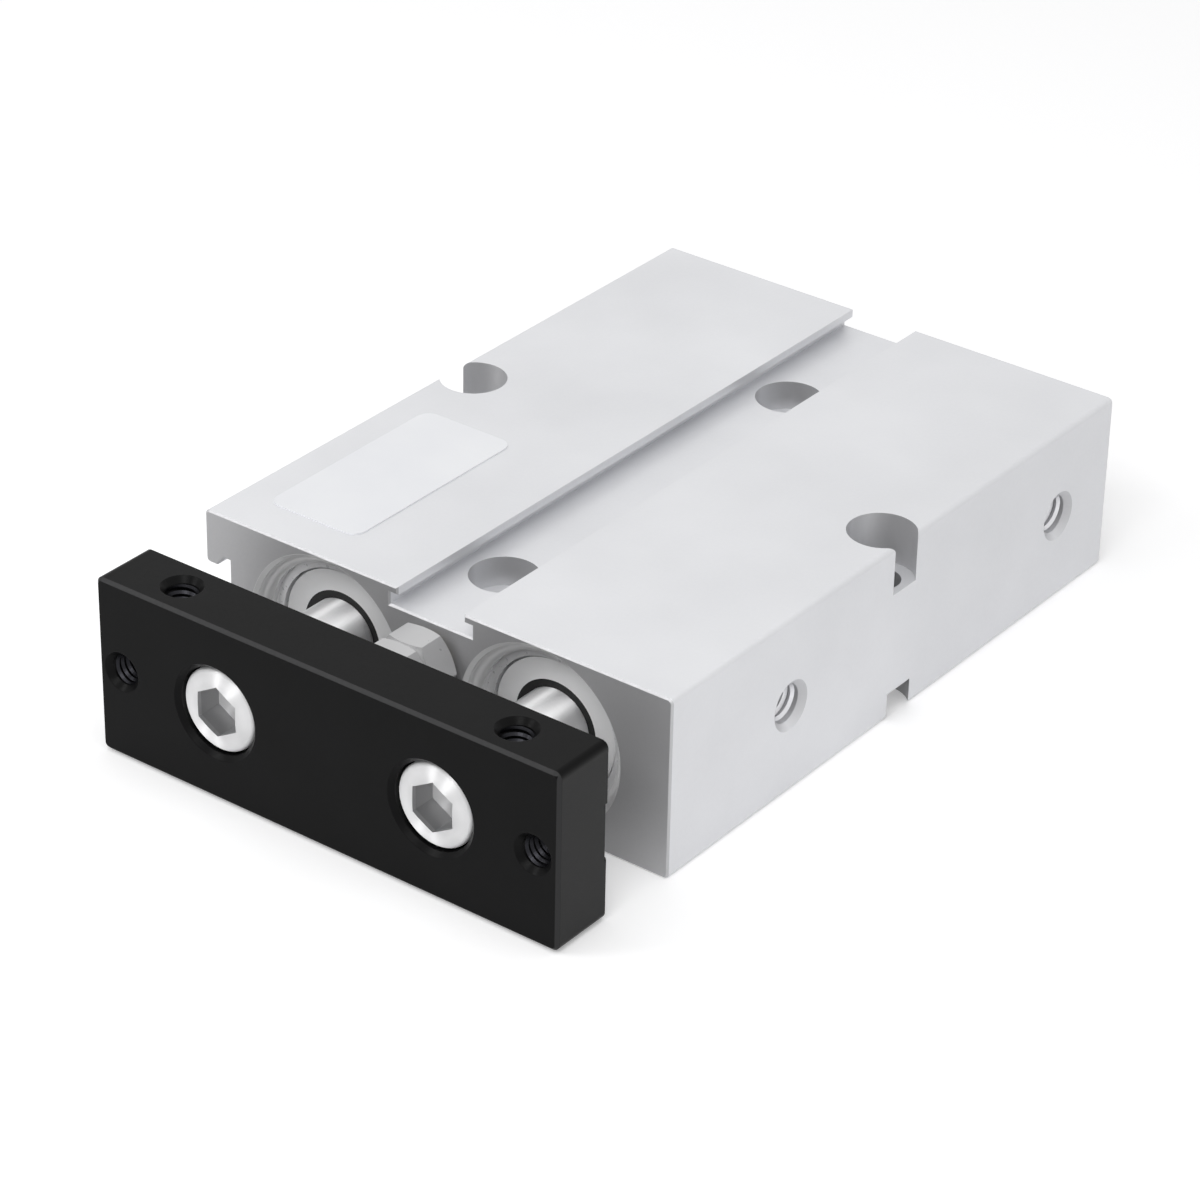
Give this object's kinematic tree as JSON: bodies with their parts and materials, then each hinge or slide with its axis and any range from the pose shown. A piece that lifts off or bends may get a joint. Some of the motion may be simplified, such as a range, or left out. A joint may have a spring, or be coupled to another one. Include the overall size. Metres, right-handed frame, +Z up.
{
  "type": "twin rod pneumatic cylinder",
  "caption": "Flat twin rod air cylinder: a grooved block body drives parallel rods that carry a black fixing plate with a stop bolt.",
  "frame": {"origin": "centre of the cylinder's footprint, plate included, on its underside", "axes": "+X across the body towards the air ports, +Y from the plate towards the rear, +Z up"},
  "size_m": [0.058, 0.0944, 0.0201],
  "materials": {
    "body_anodised": "extruded and machined, clear anodised to a fine satin",
    "cover_aluminium": "turned, with fine turning marks",
    "plate_black": "machined, black anodised, satin",
    "rod_chrome": "ground and hard chromed, polished",
    "screw_steel": "bright nickel plated, polished",
    "zinc_steel": "zinc plated, satin",
    "ring_steel": "spring steel, plated, satin",
    "bush_bronze": "sintered bronze, oiled",
    "seal_rubber": "black nitrile rubber, smooth",
    "bumper_urethane": "amber urethane, smooth",
    "piston_aluminium": "turned, plain",
    "magnet_grey": "bonded magnet, dull dark grey",
    "wear_ring_plastic": "filled plastic, matt",
    "label_foil": "bare silver foil, smooth"
  },
  "bodies": {
    "housing": {"body": "body_anodised", "label": "label_foil", "front_cover_left": "cover_aluminium", "rod_bush_left": "bush_bronze", "rod_seal_left": "seal_rubber", "front_o_ring_left": "seal_rubber", "front_retaining_ring_left": "ring_steel", "front_bumper_left": "bumper_urethane", "rear_cover_left": "cover_aluminium", "rear_o_ring_left": "seal_rubber", "rear_retaining_ring_left": "ring_steel", "rear_bumper_left": "bumper_urethane", "front_cover_right": "cover_aluminium", "rod_bush_right": "bush_bronze", "rod_seal_right": "seal_rubber", "front_o_ring_right": "seal_rubber", "front_retaining_ring_right": "ring_steel", "front_bumper_right": "bumper_urethane", "rear_cover_right": "cover_aluminium", "rear_o_ring_right": "seal_rubber", "rear_retaining_ring_right": "ring_steel", "rear_bumper_right": "bumper_urethane"},
    "slider": {"rod_left": "rod_chrome", "piston_front_left": "piston_aluminium", "piston_rear_left": "piston_aluminium", "magnet_left": "magnet_grey", "piston_seal_left": "seal_rubber", "wear_ring_left": "wear_ring_plastic", "rod_right": "rod_chrome", "piston_front_right": "piston_aluminium", "piston_rear_right": "piston_aluminium", "magnet_right": "magnet_grey", "piston_seal_right": "seal_rubber", "wear_ring_right": "wear_ring_plastic", "piston_nuts": "zinc_steel", "fixing_plate": "plate_black", "plate_screws": "screw_steel", "stop_bolt": "zinc_steel", "stop_lock_nut": "zinc_steel", "stop_bumper": "bumper_urethane"}
  },
  "joints": [
    {"name": "rod_slide", "type": "slide", "parent": "housing", "child": "slider", "axis": [0, -1, 0], "range_m": [0, 0.025]}
  ]
}
